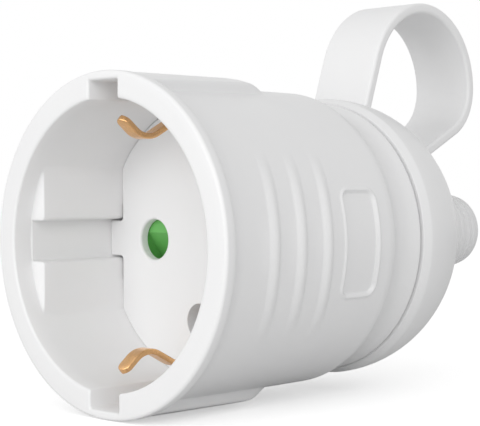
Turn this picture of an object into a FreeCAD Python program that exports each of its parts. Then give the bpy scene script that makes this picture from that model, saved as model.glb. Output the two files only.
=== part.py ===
"""Rewirable two-pole coupler socket with earth clips, a shutter and a hanging loop.

Everything is drawn on the socket's own axis: Y runs from the mouth (0) to the cord entry, X through the
two contact holes and Z up to the loop. Lengths are millimetres. The finished pieces are then moved so that
the origin lies in the middle of the footprint.
"""
import FreeCAD, Part
import math
import os

Vector = FreeCAD.Vector
AXIS = Vector(0, 1, 0)
UP = Vector(0, 0, 1)

# Mouth and recess
rim_radius = 23.1
rim_length = 1.5
rim_edge = 0.5
recess_radius = 19.5
recess_depth = 17.5
mouth_chamfer = 0.3
flat_half_width = 16.5
shelf_depth = 3.0
side_groove_half = 2.9
side_groove_reach = 19.2
key_notch_half = 2.9
key_notch_reach = 21.85
key_notch_depth = 16.0

# Outer form of the front body
sleeve_front_radius = 21.7
sleeve_rear_radius = 21.4
lip_run_out = 1.3
lip_hollow = 0.17
shoulder_at = 33.4
shoulder_length = 2.4
shoulder_drop = 1.0
shoulder_bulge = 0.35
waist_depth = 0.7
body_end = 42.1
body_end_radius = 20.2
flare_edge_length = 1.2
flare_edge_drop = 0.42
spigot_radius = 18.5
spigot_length = 3.3
rear_bore_radius = 17.6
waist_bore_radius = 16.9
bore_taper = 3.0

# Raised pads, grip ribs and side panels
pad_radius = 23.0
pad_half_front = 8.4
pad_half_rear = 6.7
pad_end = 20.2
pad_run_out = 4.8
pad_bulge = 0.5
pad_sink = 0.3
rib_first = 10.1
rib_pitch = 5.15
rib_count = 3
rib_height = 0.5
rib_wire = 1.3
rib_reach = 12.0
panel_start = 24.3
panel_end = 30.9
panel_half_height = 7.0
panel_depth = 0.35
panel_border = 0.5
panel_border_height = 0.18
panel_corner = 1.3

# Contacts
pin_spacing = 19.0
pin_radius = 2.4
contact_hole_radius = 2.9
contact_hole_bevel = 0.4
sleeve_clearance = 0.05
sleeve_wall = 0.85
sleeve_length = 12.2
sleeve_base = 1.4
sleeve_slot = 0.8
sleeve_slot_length = 10.2
sleeve_mouth = 0.35
sleeve_mouth_length = 0.6
ring_wall = 0.3
ring_fit = 0.02
ring_setback = 2.0
ring_length = 4.0
ring_gap = 1.6

# Insert, shutter and carrier
running_gap = 0.1
insert_plate = 2.8
insert_length = 6.5
floor_over_shutter = 1.4
tab_half_width = 2.6
shutter_half_width = 13.1
shutter_half_height = 3.2
shutter_thickness = 4.0
shutter_clear = 0.15
shutter_margin = 0.1
pocket_gap = 0.2
shutter_corner = 0.8
ramp_lip = 0.8
ramp_crest = 0.96
ramp_side_gap = 0.3
cover_thickness = 0.8
cover_ledge = 0.8
cover_corner = 3.0
spring_radius = 0.95
spring_wire = 0.16
spring_turns = 6
spring_slot_half = 1.3
spring_floor = 1.3
spring_seat_half = 1.6
carrier_length = 14.0
carrier_radius = 16.6
carrier_wall = 0.8
tongue_length = 19.0
tongue_half_width = 10.4
tongue_thickness = 2.2
tongue_corner = 2.5
strip_bay = 12.0
strip_bay_depth = 1.4

# Screws and their wells
joint_spacing = 22.6
well_radius = 2.5
well_depth = 11.5
well_wall = 0.9
joint_head_radius = 2.35
joint_head_height = 2.2
joint_shank_radius = 1.7
joint_shank_length = 16.0
joint_hole_radius = 1.9
joint_slot = 0.8
peg_radius = 1.7
peg_length = 6.0
peg_hole_play = 0.1
peg_edge = 0.4
bush_radius = 2.3
bush_length = 9.0
bush_relief = 2.0
carrier_screw_x = 7.6
carrier_screw_z = -10.6
carrier_screw_head = 2.1
carrier_screw_head_height = 1.5
carrier_screw_seat = 3.0
carrier_pilot_depth = 4.0
carrier_screw_radius = 1.1
carrier_screw_length = 6.0
screw_play = 0.2
driver_slot = 0.6

# Terminals
pillar_half = 3.4
pillar_length = 7.8
wire_hole_radius = 1.7
terminal_screw_radius = 1.5
terminal_head_radius = 2.3
terminal_head_height = 1.6
terminal_screw_proud = 0.6
terminal_screw_bite = 0.6
thread_play = 0.05
earth_block_half = 3.0
earth_block_length = 6.6
block_corner = 0.8
wire_hole_floor = 1.0

# Earth strip
strip_thickness = 0.8
strip_half_width = 1.1
strip_bar_half_width = 3.3
strip_level = 15.7
strip_bend = 1.2
strip_foot_bend = 3.0
clip_crest_bend = 3.6
clip_bulge_bend = 2.6
clip_tip_round = 1.0
strip_eye_margin = 1.0
strip_corner = 1.5
strip_slot_half = 1.5
strip_slot_below = 0.7
strip_slot_above = 2.3
clip_tip = (3.1, 16.95)
clip_bulge = (6.9, 13.85)
clip_crest = (13.3, 17.2)
clip_foot_at = 16.8

# Rear cap
cap_gap = 0.4
collar_radius = 20.9
collar_chamfer = 0.6
collar_chamfer_length = 1.2
collar_end = 44.0
cap_cone_half_angle = 37.6
cap_cone_start = 49.9
cap_turn_length = 5.1
cap_turn_bulge = 1.0
cap_end = 66.0
cap_end_edge = 0.4
cap_wall = 2.0
cap_bore_radius = 17.55
post_radius = 3.0
post_setback = 6.0
neck_radius = 6.5
neck_length = 2.0

# Hanging loop
loop_centre = (62.5, 23.5)
loop_outer_radius = 13.1
loop_band = 1.6
loop_half_width = 5.5
loop_corner_radius = 8.5
loop_leg_lean = 19.0
loop_foot_slope = 26.0
loop_foot_length = 12.0
loop_root = 12.0
loop_edge = 0.5

# Cord entry
overall_length = 77.0
cord_hole_radius = 4.1
grommet_root_radius = 8.0
grommet_tip_radius = 5.6
grommet_flange_radius = 7.3
grommet_flange = 2.2
grommet_fit = 0.1
grommet_grooves = 4
grommet_groove_width = 1.3
grommet_groove_depth = 0.7
grommet_first_groove = 1.6
grommet_end_band = 1.0
grommet_edge = 0.8
clamp_at = 53.5
clamp_width = 5.0
clamp_half_span = 10.2
clamp_foot = 2.4
clamp_arch = 1.8
clamp_grip = 0.3
clamp_corner = 1.2
clamp_screw_end = 0.6
clamp_screw_x = 7.8
clamp_screw_radius = 1.3
clamp_head_radius = 2.0
clamp_head_height = 1.7
nut_half = 2.5
nut_thickness = 1.8

# How far a cutting shape runs past the surface that it opens, and how deep a joined one is sunk
past = 1.0
sunk = 0.01

# Height of a quarter circle over its chord, for a radius of one
quarter = 1 - math.sqrt(0.5)

# Places that follow from the sizes above
pin_x = pin_spacing / 2
joint_z = joint_spacing / 2
strip_slot_inner = strip_level - strip_slot_below
strip_slot_outer = strip_level + strip_slot_above
plate_back = recess_depth + insert_plate
insert_back = recess_depth + insert_length
carrier_back = insert_back + carrier_length
carrier_seat = insert_back + carrier_screw_seat
spigot_end = body_end + spigot_length
cap_start = body_end + cap_gap
sleeve_start = insert_back + carrier_wall
sleeve_bore = pin_radius + sleeve_clearance
sleeve_outer = sleeve_bore + sleeve_wall
pillar_start = sleeve_start + sleeve_length + sleeve_base
ring_outer = sleeve_outer + ring_wall
sleeve_hole = ring_outer + running_gap
well_end = recess_depth + well_depth
bar_back = carrier_back + strip_thickness
shutter_travel = shutter_half_height + pin_radius + shutter_margin
pocket_front = recess_depth + floor_over_shutter
pocket_back = insert_back - cover_thickness
column_radius = well_radius + well_wall
spring_top = joint_z - column_radius - running_gap
tongue_top = -(cord_hole_radius + running_gap)
tongue_end = carrier_back + tongue_length
cone_slope = math.tan(math.radians(cap_cone_half_angle))
cone_wall = cap_wall / math.cos(math.radians(cap_cone_half_angle))


def cylinder(radius, start, end, x=0.0, z=0.0):
    """Round bar along the axis, from one station to another."""
    return Part.makeCylinder(radius, end - start, Vector(x, start, z), AXIS)


def upright(radius, x, y, bottom, top):
    return Part.makeCylinder(radius, top - bottom, Vector(x, y, bottom), UP)


def block(x0, x1, y0, y1, z0, z1):
    return Part.makeBox(x1 - x0, y1 - y0, z1 - z0, Vector(x0, y0, z0))


def both_sides(shape):
    """The shape and its mirror image across the upright middle plane."""
    return shape.fuse(shape.mirror(Vector(), Vector(1, 0, 0)))


def top_and_bottom(shape):
    return shape.fuse(shape.mirror(Vector(), UP))


def chain(start, steps, to_point):
    """Joined edges to each step's point. A third number makes an arc, that far off its chord to the left."""
    edges = []
    here = start
    for step in steps:
        there = step[:2]
        if len(step) == 3:
            run, rise = there[0] - here[0], there[1] - here[1]
            share = step[2] / math.hypot(run, rise)
            through = ((here[0] + there[0]) / 2 - share * rise, (here[1] + there[1]) / 2 + share * run)
            edge = Part.Arc(to_point(*here), to_point(*through), to_point(*there))
        else:
            edge = Part.LineSegment(to_point(*here), to_point(*there))
        edges.append(edge.toShape())
        here = there
    return edges


def edges_along(shape, direction):
    """The straight edges that run that way."""
    return [e for e in shape.Edges if abs(e.tangentAt(e.FirstParameter).dot(direction)) > 0.99]


def turned(start, *steps):
    """Solid of revolution about the axis, from an outline of (station, radius) points."""
    edges = chain(start, list(steps) + [start], lambda y, r: Vector(r, y, 0))
    face = Part.Face(Part.Wire(edges))
    return face.revolve(Vector(), AXIS, 360)


def side_plate(edges, half_width):
    """Plate cut from a side view outline, centred on the upright middle plane."""
    face = Part.Face(Part.Wire(edges))
    face.translate(Vector(-half_width, 0, 0))
    return face.extrude(Vector(2 * half_width, 0, 0))


def side_point(y, z):
    return Vector(0, y, z)


def rounded_edges(points, radii):
    """Straight runs through the points with their corners rounded, seen from the side."""
    edges = []
    here = points[0]
    for before, corner, after, radius in zip(points, points[1:], points[2:], radii):
        into = Vector(0, corner[0] - before[0], corner[1] - before[1]).normalize()
        out = Vector(0, after[0] - corner[0], after[1] - corner[1]).normalize()
        half_turn = into.getAngle(out) / 2
        reach = radius * math.tan(half_turn)
        middle = (out - into).normalize() * (radius / math.cos(half_turn) - radius)
        at = side_point(*corner)
        first, last = at - into * reach, at + out * reach
        edges.append(Part.LineSegment(side_point(*here), first).toShape())
        edges.append(Part.Arc(first, at + middle, last).toShape())
        here = (last.y, last.z)
    edges.append(Part.LineSegment(side_point(*here), side_point(*points[-1])).toShape())
    return edges


def strip_side(points, radii, offset):
    """One side of a bent strip: the middle line moved sideways, with its bend radii to suit."""
    runs = [(b[0] - a[0], b[1] - a[1]) for a, b in zip(points, points[1:])]
    normals = []
    for dy, dz in runs:
        length = math.hypot(dy, dz)
        normals.append((-dz / length, dy / length))
    moved = [(points[0][0] + offset * normals[0][0], points[0][1] + offset * normals[0][1])]
    bends = []
    for corner, before, after, radius in zip(points[1:-1], normals, normals[1:], radii):
        share = offset / (1 + before[0] * after[0] + before[1] * after[1])
        moved.append(tuple(c + share * (b + a) for c, b, a in zip(corner, before, after)))
        turn = before[0] * after[1] - before[1] * after[0]
        bends.append(radius - math.copysign(offset, turn) if offset * turn > 0 else radius + abs(offset))
    end = points[-1]
    moved.append((end[0] + offset * normals[-1][0], end[1] + offset * normals[-1][1]))
    return moved, bends


def bent_strip(points, radii, thickness, half_width):
    """Flat strip of even thickness bent along a side view line."""
    left, left_bends = strip_side(points, radii, thickness / 2)
    right, right_bends = strip_side(points, radii, -thickness / 2)
    edges = rounded_edges(left, left_bends)
    edges.append(Part.LineSegment(side_point(*left[-1]), side_point(*right[-1])).toShape())
    edges += rounded_edges(right[::-1], right_bends[::-1])
    edges.append(Part.LineSegment(side_point(*right[0]), side_point(*left[0])).toShape())
    return side_plate(edges, half_width)


def screw(at, direction, head_radius, head_height, shank_radius, length, slot=driver_slot):
    """Round headed screw with a driving slot. The point given is under the head, on its seat."""
    head = Part.makeCylinder(head_radius, head_height, at, direction * -1)
    shank = Part.makeCylinder(shank_radius, length - shank_radius / 2, at, direction)
    tip = Part.makeCone(shank_radius, shank_radius / 2, shank_radius / 2,
                        at + direction * (length - shank_radius / 2), direction)
    cut = Part.makeBox(3 * head_radius, slot, head_height)
    cut.translate(Vector(-1.5 * head_radius, -slot / 2, head_height / 2))
    cut.Placement = FreeCAD.Placement(at, FreeCAD.Rotation(UP, direction * -1)).multiply(cut.Placement)
    return head.fuse([shank, tip]).cut(cut).removeSplitter()


def cone_radius(station):
    """Outer radius of the cap's cone."""
    return collar_radius - (station - cap_cone_start) * cone_slope


def recess_section(start, end, clearance):
    """The plug's own outline: a round with two flats, and a groove in the middle of each flat."""
    body = cylinder(recess_radius - clearance, start, end)
    half = flat_half_width - clearance
    reach = rim_radius
    body = body.common(block(-half, half, start, end, -reach, reach))
    groove = side_groove_half if clearance == 0 else tab_half_width
    across = side_groove_reach - 2 * clearance
    return body.fuse(block(-across, across, start, end, -groove, groove)).removeSplitter()


def rounded_window(start, end, half_height):
    """Prism with rounded corners that points out through the right wall of the body."""
    prism = block(rear_bore_radius + past, rim_radius + past, start, end, -half_height, half_height)
    return prism.makeFillet(panel_corner, edges_along(prism, AXIS.cross(UP)))


def sleeve_outside(extra):
    """Outer skin of the body behind the lip, grown by a little, as far as the spigot."""
    shoulder_end = shoulder_at + shoulder_length
    return turned(
        (0.0, 0.0),
        (0.0, sleeve_front_radius + extra),
        (shoulder_at, sleeve_rear_radius + extra),
        (shoulder_end, sleeve_rear_radius - shoulder_drop + extra, shoulder_bulge),
        (body_end - flare_edge_length, body_end_radius - flare_edge_drop + extra, -waist_depth),
        (body_end, body_end_radius + extra),
        (body_end, 0.0),
    )


def make_front_body():
    lip = turned(
        (0.0, 0.0),
        (0.0, rim_radius - rim_edge),
        (rim_edge, rim_radius, rim_edge * quarter),
        (rim_length, rim_radius),
        (rim_length + lip_run_out, sleeve_front_radius - sunk, -lip_hollow),
        (rim_length + lip_run_out, 0.0),
    )
    body = sleeve_outside(0).fuse([lip, cylinder(spigot_radius, body_end - past, spigot_end)])

    # Top and bottom pads over the key notches, narrower towards the rear
    pad_foot = pad_end + pad_run_out
    pad = turned(
        (rim_edge, 0.0),
        (rim_edge, pad_radius),
        (pad_end, pad_radius),
        (pad_foot, sleeve_rear_radius - pad_sink, pad_bulge),
        (pad_foot, 0.0),
    )
    corners = [
        (-pad_half_front, 0.0),
        (pad_half_front, 0.0),
        (pad_half_rear, pad_foot + past),
        (-pad_half_rear, pad_foot + past),
    ]
    plan = Part.Face(Part.makePolygon([Vector(x, y, 0) for x, y in corners + corners[:1]]))
    body = body.fuse(top_and_bottom(pad.common(plan.extrude(UP * (rim_radius + past)))))

    # Grip ribs: part of a ring whose centre is off the axis, so that each end runs out into the wall
    crest = sleeve_rear_radius + rib_height
    end_x = math.sqrt(sleeve_rear_radius ** 2 - rib_reach ** 2)
    ring_x = (crest ** 2 - sleeve_rear_radius ** 2) / (2 * (crest - end_x))
    beyond = rib_reach + past
    outer_part = block(end_x - past, rim_radius, 0, body_end, -beyond, beyond)
    for index in range(rib_count):
        centre = Vector(ring_x, rib_first + index * rib_pitch, 0)
        ring = Part.makeTorus(crest - ring_x - rib_wire, rib_wire, centre, AXIS)
        body = body.fuse(both_sides(ring.common(outer_part)))

    # Bare side panels: a thin raised border round a shallow recess
    frame = rounded_window(panel_start - panel_border, panel_end + panel_border,
                           panel_half_height + panel_border)
    window = rounded_window(panel_start, panel_end, panel_half_height)
    border = frame.cut(window).common(sleeve_outside(panel_border_height))
    body = body.fuse(both_sides(border))
    body = body.cut(both_sides(window.cut(sleeve_outside(-panel_depth))))

    # Recess: round mouth, then the flats with their grooves, and the key notches at top and bottom
    mouth = turned(
        (-past, 0.0),
        (-past, recess_radius + mouth_chamfer),
        (0.0, recess_radius + mouth_chamfer),
        (mouth_chamfer, recess_radius),
        (shelf_depth, recess_radius),
        (shelf_depth, 0.0),
    )
    notch = block(-key_notch_half, key_notch_half, -past, key_notch_depth, 0, key_notch_reach)
    inside = mouth.fuse([recess_section(shelf_depth - sunk, plate_back, 0), top_and_bottom(notch)])
    bore = turned(
        (plate_back - sunk, 0.0),
        (plate_back - sunk, rear_bore_radius),
        (shoulder_at, rear_bore_radius),
        (shoulder_at + bore_taper, waist_bore_radius),
        (spigot_end + past, waist_bore_radius),
        (spigot_end + past, 0.0),
    )
    return body.cut(inside.fuse(bore)).removeSplitter()


def make_contact_insert():
    plate = recess_section(recess_depth, plate_back, running_gap)
    rear = cylinder(rear_bore_radius - 2 * running_gap, plate_back, insert_back)
    insert = plate.fuse(rear)

    # Pocket that the shutter slides in, round a boss over it and the seat of the spring
    half = shutter_half_width + pocket_gap
    pocket = block(-half, half, pocket_front, insert_back,
                   -shutter_half_height - pocket_gap, shutter_half_height + shutter_travel + pocket_gap)
    column = cylinder(column_radius, pocket_front, insert_back, 0, joint_z)
    seat = block(-spring_seat_half, spring_seat_half, pocket_front, pocket_back, spring_top, joint_z)
    pocket = pocket.cut(column.fuse(seat))
    insert = insert.cut(pocket.fuse(cover_outline(pocket_back, insert_back, 0)))

    for x in (-pin_x, pin_x):
        hole = cylinder(contact_hole_radius, recess_depth - past, pocket_front + past, x)
        bevel = Part.makeCone(contact_hole_radius + contact_hole_bevel, contact_hole_radius,
                              contact_hole_bevel, Vector(x, recess_depth, 0), AXIS)
        insert = insert.cut(hole.fuse(bevel))
    insert = insert.cut(cylinder(well_radius, recess_depth - past, insert_back + past, 0, -joint_z))
    for side in (-1, 1):
        pilot = cylinder(carrier_screw_radius, insert_back - carrier_pilot_depth, insert_back + past,
                         side * carrier_screw_x, carrier_screw_z)
        insert = insert.cut(pilot)
    slot = block(-strip_slot_half, strip_slot_half, recess_depth - past, insert_back + past,
                 strip_slot_inner, strip_slot_outer)
    return insert.cut(top_and_bottom(slot)).removeSplitter()


def cover_outline(start, end, gap):
    """Rounded plate behind the shutter pocket, cut round the boss above it."""
    half = shutter_half_width + pocket_gap + cover_ledge - gap
    low = -shutter_half_height - pocket_gap - cover_ledge + gap
    high = shutter_half_height + shutter_travel + pocket_gap + cover_ledge - gap
    plate = block(-half, half, start, end, low, high)
    plate = plate.makeFillet(cover_corner - gap, edges_along(plate, AXIS))
    return plate.cut(cylinder(column_radius + gap, start - past, end + past, 0, joint_z))


def make_shutter_cover():
    cover = cover_outline(pocket_back, insert_back, running_gap)
    for x in (-pin_x, pin_x):
        cover = cover.cut(cylinder(contact_hole_radius, pocket_back - past, insert_back + past, x))
    return cover


def make_shutter():
    front = pocket_front + shutter_clear
    back = front + shutter_thickness
    half = shutter_half_height
    slide = block(-shutter_half_width, shutter_half_width, front, back, -half, half)
    slide = slide.makeFillet(shutter_corner, edges_along(slide, AXIS))

    # Ramp under each hole: a pin presses on it and lifts the slide
    lip = back - ramp_lip
    corners = [(lip, -half - past), (lip, -half), (front, ramp_crest), (front - past, ramp_crest)]
    start = (front - past, -half - past)
    wedge = side_plate(chain(start, corners + [start], side_point), contact_hole_radius + ramp_side_gap)
    for x in (-pin_x, pin_x):
        at_pin = wedge.copy()
        at_pin.translate(Vector(x, 0, 0))
        slide = slide.cut(at_pin)

    # Room for the boss above, and the slot that the spring sits in
    room = column_radius + 2 * pocket_gap
    above = block(-room, room, front - past, back + past, half / 2, half + past)
    slot = block(-spring_slot_half, spring_slot_half, back - 2 * spring_slot_half, back + past,
                 -half + spring_floor, half)
    return slide.cut(above).cut(slot)


def make_shutter_spring():
    low = -shutter_half_height + spring_floor + spring_wire
    high = spring_top - spring_wire
    middle = pocket_front + shutter_clear + shutter_thickness - spring_slot_half
    helix = Part.makeHelix((high - low) / spring_turns, high - low, spring_radius)
    section = Part.Wire(Part.makeCircle(spring_wire, Vector(spring_radius, 0, 0), AXIS))
    coil = Part.Wire(helix).makePipeShell([section], True, True)
    coil.translate(Vector(0, middle, low))
    return coil


def make_contact_carrier():
    carrier = cylinder(carrier_radius, insert_back, carrier_back)
    tongue = block(-tongue_half_width, tongue_half_width, carrier_back - past, tongue_end,
                   tongue_top - tongue_thickness, tongue_top)
    far_corners = [e for e in edges_along(tongue, UP) if e.Vertexes[0].Y > carrier_back]
    carrier = carrier.fuse(tongue.makeFillet(tongue_corner, far_corners))
    room = strip_bar_half_width + 2 * pocket_gap
    carrier = carrier.cut(block(-room, room, carrier_back, carrier_back + strip_bay_depth, -strip_bay, 0))

    for x in (-pin_x, pin_x):
        carrier = carrier.cut(cylinder(contact_hole_radius, insert_back - past, sleeve_start + past, x))
        carrier = carrier.cut(cylinder(sleeve_hole, sleeve_start, carrier_back + past, x))
    # Well of the joining screw below, blind hole for the cap's peg above
    well = cylinder(well_radius, insert_back - past, well_end, 0, -joint_z)
    shank = cylinder(joint_hole_radius, well_end - past, carrier_back + past, 0, -joint_z)
    peg_end = bar_back - peg_length - peg_hole_play
    peg_hole = cylinder(peg_radius + peg_hole_play, peg_end, carrier_back + past, 0, joint_z)
    carrier = carrier.cut(well.fuse([shank, peg_hole]))
    for side in (-1, 1):
        x, z = side * carrier_screw_x, carrier_screw_z
        head = cylinder(carrier_screw_head + screw_play, carrier_seat, carrier_back + past, x, z)
        hole = cylinder(carrier_screw_radius + screw_play, insert_back - past, carrier_seat + past, x, z)
        carrier = carrier.cut(head.fuse(hole))
        carrier = carrier.cut(upright(clamp_screw_radius + screw_play, side * clamp_screw_x, clamp_at,
                                      tongue_top - tongue_thickness - past, tongue_top + past))

    # Groove for each arm of the earth strip, wider behind where the strip bends
    under_strip = strip_level - strip_thickness / 2
    groove = block(-strip_slot_half, strip_slot_half, insert_back - past, carrier_back + past,
                   under_strip - running_gap, rim_radius)
    relief = block(-strip_slot_half, strip_slot_half, carrier_back - strip_bend, carrier_back + past,
                   under_strip - strip_bend, rim_radius)
    return carrier.cut(top_and_bottom(groove.fuse(relief))).removeSplitter()


def make_contact_sleeve(x):
    """Split tube that grips one pin, with a terminal block behind it."""
    tube = cylinder(sleeve_outer, sleeve_start, pillar_start, x)
    tube = tube.cut(cylinder(sleeve_bore, sleeve_start - past, sleeve_start + sleeve_length, x))
    mouth = Part.makeCone(sleeve_bore + sleeve_mouth, sleeve_bore, sleeve_mouth_length,
                          Vector(x, sleeve_start, 0), AXIS)
    slot = block(x - sleeve_slot / 2, x + sleeve_slot / 2,
                 sleeve_start - past, sleeve_start + sleeve_slot_length,
                 -sleeve_outer - past, sleeve_outer + past)
    return tube.cut(mouth.fuse(slot)).fuse(terminal_block(pillar_half, pillar_start, pillar_length, x))


def terminal_block(half, start, length, x=0.0):
    """Square bar with a hole for the wire along it and a screw hole from above."""
    bar = block(x - half, x + half, start, start + length, -half, half)
    bar = bar.makeFillet(block_corner, edges_along(bar, AXIS))
    bar = bar.cut(cylinder(wire_hole_radius, start + wire_hole_floor, start + length + past, x))
    return bar.cut(upright(terminal_screw_radius + thread_play, x, start + length / 2, 0, half + past))


def terminal_screw(half, start, length, x=0.0):
    """Grub screw with a head, run down into the wire hole of a terminal block."""
    level = half + terminal_screw_proud
    return screw(Vector(x, start + length / 2, level), UP * -1, terminal_head_radius,
                 terminal_head_height, terminal_screw_radius, level + terminal_screw_bite)


def make_sleeve_spring(x):
    start = sleeve_start + ring_setback
    end = start + ring_length
    ring = cylinder(ring_outer, start, end, x)
    ring = ring.cut(cylinder(sleeve_outer + ring_fit, start - past, end + past, x))
    outside = x + math.copysign(ring_outer + past, x)
    gap = block(min(x, outside), max(x, outside), start - past, end + past, -ring_gap / 2, ring_gap / 2)
    return ring.cut(gap)


def make_terminal_screws():
    screws = [terminal_screw(pillar_half, pillar_start, pillar_length, x) for x in (-pin_x, pin_x)]
    return Part.makeCompound(screws)


def make_earth_bracket():
    """One strip bent to a long U. Each arm ends in a spring clip that bulges towards the middle."""
    bar = carrier_back + strip_thickness / 2
    clip_foot = (clip_foot_at, strip_level)
    points = [(bar, 0.0), (bar, strip_level), clip_foot, clip_crest, clip_bulge, clip_tip]
    bends = [strip_bend, strip_foot_bend, clip_crest_bend, clip_bulge_bend]
    arm = bent_strip(points, bends, strip_thickness, strip_half_width)
    tip_corners = [e for e in arm.Edges if e.Length < 1.1 * strip_thickness and
                   e.CenterOfMass.y < clip_bulge[0] and abs(e.CenterOfMass.x) > strip_half_width / 2]
    arm = arm.makeFillet(clip_tip_round, tip_corners)
    cross = block(-strip_bar_half_width, strip_bar_half_width, carrier_back, bar_back, 0,
                  joint_z + joint_hole_radius + strip_eye_margin)
    top_corners = [e for e in edges_along(cross, AXIS) if e.Vertexes[0].Z > joint_z]
    cross = cross.makeFillet(strip_corner, top_corners)
    hole = cylinder(joint_hole_radius, carrier_back - past, bar_back + past, 0, joint_z)
    return top_and_bottom(arm.fuse(cross).cut(hole)).removeSplitter()


def make_joining_screw():
    return screw(Vector(0, well_end, -joint_z), AXIS, joint_head_radius, joint_head_height,
                 joint_shank_radius, joint_shank_length, joint_slot)


def make_carrier_screws():
    screws = []
    for x in (-carrier_screw_x, carrier_screw_x):
        at = Vector(x, carrier_seat, carrier_screw_z)
        screws.append(screw(at, AXIS * -1, carrier_screw_head, carrier_screw_head_height,
                            carrier_screw_radius - thread_play, carrier_screw_length))
    return Part.makeCompound(screws)


def make_cap_insert():
    """Threaded bush that the joining screw runs into."""
    end = bar_back + bush_length
    hole = cylinder(joint_shank_radius + thread_play, bar_back - past, end + past, 0, -joint_z)
    return cylinder(bush_radius, bar_back, end, 0, -joint_z).cut(hole)


def make_loop():
    """Round band with a tighter corner behind, from a leaning leg to a sloping foot."""
    cy, cz = loop_centre
    corner_y = cy + loop_outer_radius - loop_corner_radius
    turn = 90 - loop_foot_slope
    across = Vector(1, 0, 0)
    front = cy - loop_outer_radius
    section = block(-loop_half_width, loop_half_width, front, front + loop_band, loop_root, cz)
    section = section.makeFillet(loop_edge, edges_along(section, UP))
    section = max(section.Faces, key=lambda face: face.CenterOfMass.z)
    behind = section.rotated(Vector(0, cy, cz), across, -180)
    section = section.rotated(Vector(0, cy, cz), across, -loop_leg_lean)

    lean = math.radians(loop_leg_lean)
    leg_length = (cz - loop_root) / math.cos(lean)
    leg = section.extrude(Vector(0, -math.sin(lean), -math.cos(lean)) * leg_length)
    ring = section.revolve(Vector(0, cy, cz), across, loop_leg_lean - 180)
    corner = behind.revolve(Vector(0, corner_y, cz), across, -turn)
    behind = behind.rotated(Vector(0, corner_y, cz), across, -turn)
    slope = math.radians(loop_foot_slope)
    foot = behind.extrude(Vector(0, -math.cos(slope), -math.sin(slope)) * loop_foot_length)
    return leg.fuse([ring, corner, foot])


def make_rear_cap():
    """Collar and cone with the loop on top. One post inside takes the screw, the other ends in a peg."""
    turn_end = cap_cone_start + cap_turn_length
    edge_start = cap_end - cap_end_edge
    outside = turned(
        (cap_start, 0.0),
        (cap_start, collar_radius - collar_chamfer),
        (cap_start + collar_chamfer_length, collar_radius),
        (collar_end, collar_radius),
        (turn_end, cone_radius(turn_end), cap_turn_bulge),
        (edge_start, cone_radius(edge_start)),
        (cap_end, cone_radius(cap_end) - cap_end_edge),
        (cap_end, 0.0),
    )
    wall_front = cap_end - neck_length
    cone_meets = cap_cone_start + (collar_radius - cone_wall - cap_bore_radius) / cone_slope
    inside = turned(
        (cap_start - past, 0.0),
        (cap_start - past, spigot_radius + running_gap),
        (spigot_end, spigot_radius + running_gap),
        (spigot_end, cap_bore_radius),
        (cone_meets, cap_bore_radius),
        (wall_front, cone_radius(wall_front) - cone_wall),
        (wall_front, 0.0),
    )
    cap = outside.cut(inside).cut(cylinder(neck_radius, cap_start, cap_end + past))

    # Posts: the lower with a seat for the threaded bush, the upper with a peg that locates the carrier
    post = cylinder(post_radius, bar_back, cap_end - post_setback, 0, joint_z)
    room = cylinder(collar_radius, bar_back - past, cap_start + past)
    post = post.common(outside.fuse(room))
    bush_end = bar_back + bush_length
    bore = cylinder(bush_radius, bar_back - past, bush_end, 0, -joint_z)
    bore = bore.fuse(cylinder(joint_hole_radius, bar_back, bush_end + bush_relief, 0, -joint_z))
    peg = cylinder(peg_radius, bar_back - peg_length, bar_back + past, 0, joint_z)
    front_edge = min(peg.Edges, key=lambda edge: edge.CenterOfMass.y)
    peg = peg.makeChamfer(peg_edge, [front_edge])
    cap = cap.fuse([top_and_bottom(post), peg]).cut(bore)
    return cap.fuse(make_loop().cut(outside)).removeSplitter()


def make_cord_clamp():
    """Saddle that presses the cord onto the tongue: two feet and an arch."""
    y0, y1 = clamp_at - clamp_width / 2, clamp_at + clamp_width / 2
    reach = cord_hole_radius - clamp_grip
    crown = reach + clamp_arch
    feet = block(-clamp_half_span, clamp_half_span, y0, y1, tongue_top, tongue_top + clamp_foot)
    feet = feet.makeFillet(clamp_corner, edges_along(feet, UP))
    arch = cylinder(crown, y0, y1).common(block(-crown, crown, y0, y1, tongue_top, crown))
    saddle = feet.fuse(arch).cut(cylinder(reach, y0 - past, y1 + past))
    saddle = saddle.cut(block(-reach, reach, y0 - past, y1 + past, tongue_top - past, 0))
    for x in (-clamp_screw_x, clamp_screw_x):
        saddle = saddle.cut(upright(clamp_screw_radius + screw_play, x, clamp_at, tongue_top - past, crown))
    return saddle.removeSplitter()


def make_cord_clamp_screws():
    screws = []
    seat = tongue_top + clamp_foot
    length = clamp_foot + tongue_thickness + nut_thickness + clamp_screw_end
    for x in (-clamp_screw_x, clamp_screw_x):
        screws.append(screw(Vector(x, clamp_at, seat), UP * -1, clamp_head_radius, clamp_head_height,
                            clamp_screw_radius, length))
    return Part.makeCompound(screws)


def make_cord_clamp_nuts():
    nuts = []
    top = tongue_top - tongue_thickness
    low = top - nut_thickness
    for x in (-clamp_screw_x, clamp_screw_x):
        nut = block(x - nut_half, x + nut_half, clamp_at - nut_half, clamp_at + nut_half, low, top)
        nuts.append(nut.cut(upright(clamp_screw_radius + thread_play, x, clamp_at, low - past, top + past)))
    return Part.makeCompound(nuts)


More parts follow.
